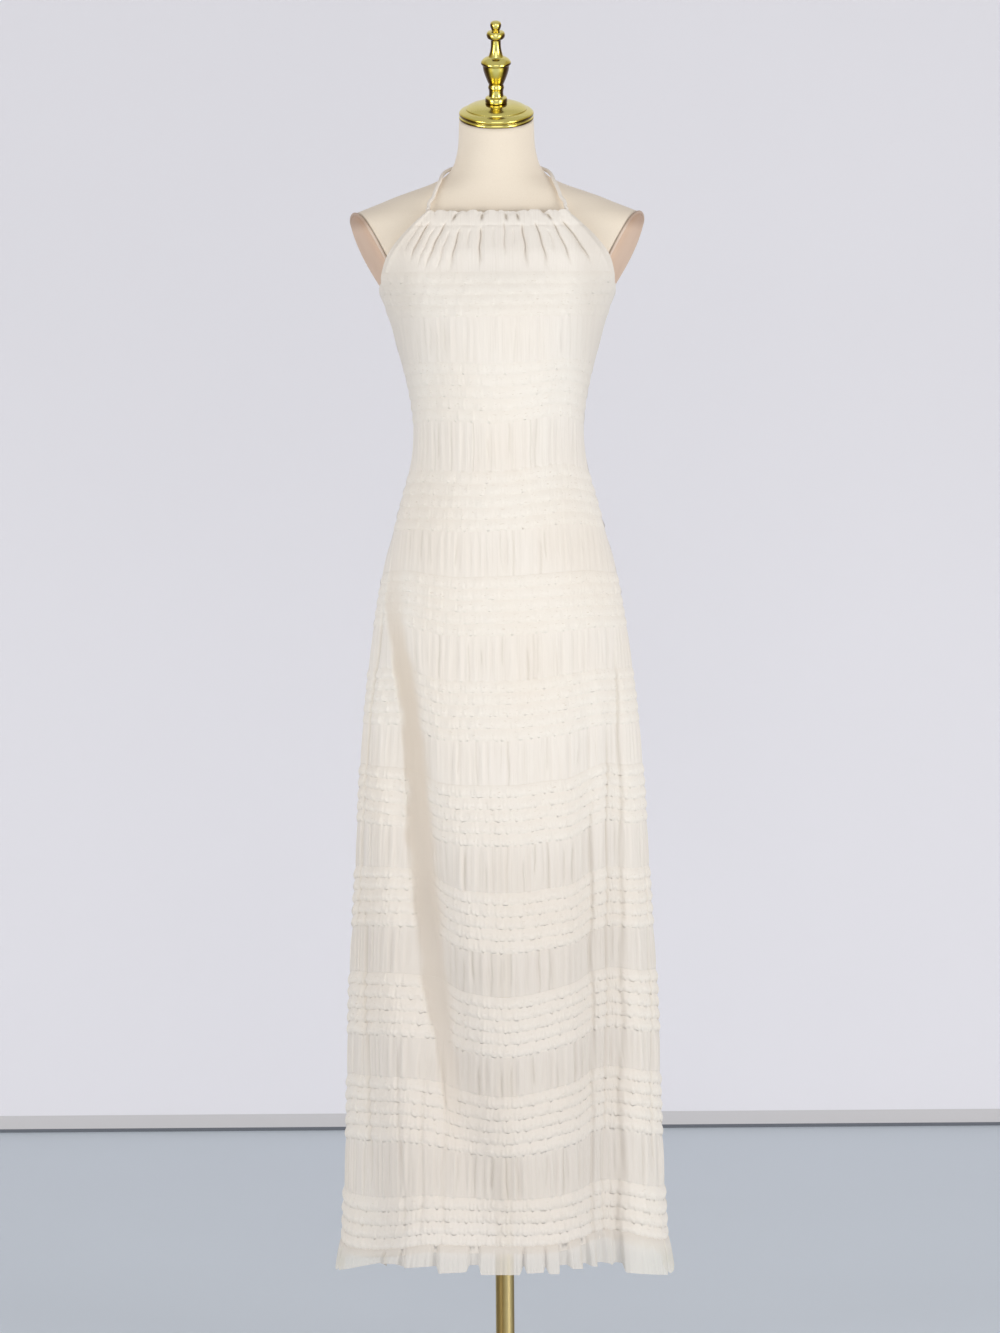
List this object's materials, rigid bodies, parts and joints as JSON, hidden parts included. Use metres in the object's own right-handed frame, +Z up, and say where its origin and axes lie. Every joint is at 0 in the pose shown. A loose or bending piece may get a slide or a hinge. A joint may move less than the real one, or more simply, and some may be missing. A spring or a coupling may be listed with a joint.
{
  "type": "halter-neck maxi dress on a dress form",
  "caption": "Long halter-neck dress with bands of frilled tucks, gathers and a frilled hem, worn by a limbless dress form on a round-based pole.",
  "frame": {"origin": "centre of the stand base's underside, on the floor", "axes": "+Z up along the pole, -Y is the dress's front, +X is to the right as seen from the front"},
  "size_m": [0.4515, 0.3595, 1.8347],
  "materials": {
    "cloth": "semi-sheer crinkled ivory cloth, gathered and tucked",
    "cord": "narrow ivory rouleau cord",
    "form_cover": "smooth beige cloth cover",
    "plate_cover": "blush cloth over the arm plates",
    "brass": "polished"
  },
  "bodies": {
    "root": {"dress_front": "cloth", "dress_back": "cloth", "hem_frill_front": "cloth", "hem_frill_back": "cloth", "neck_cord": "cord", "form_torso": "form_cover", "form_arm_plate_left": "plate_cover", "form_arm_plate_right": "plate_cover", "form_neck_cap": "brass", "form_finial": "brass", "stand_pole": "brass", "stand_socket": "brass", "stand_base": "brass"}
  },
  "joints": []
}
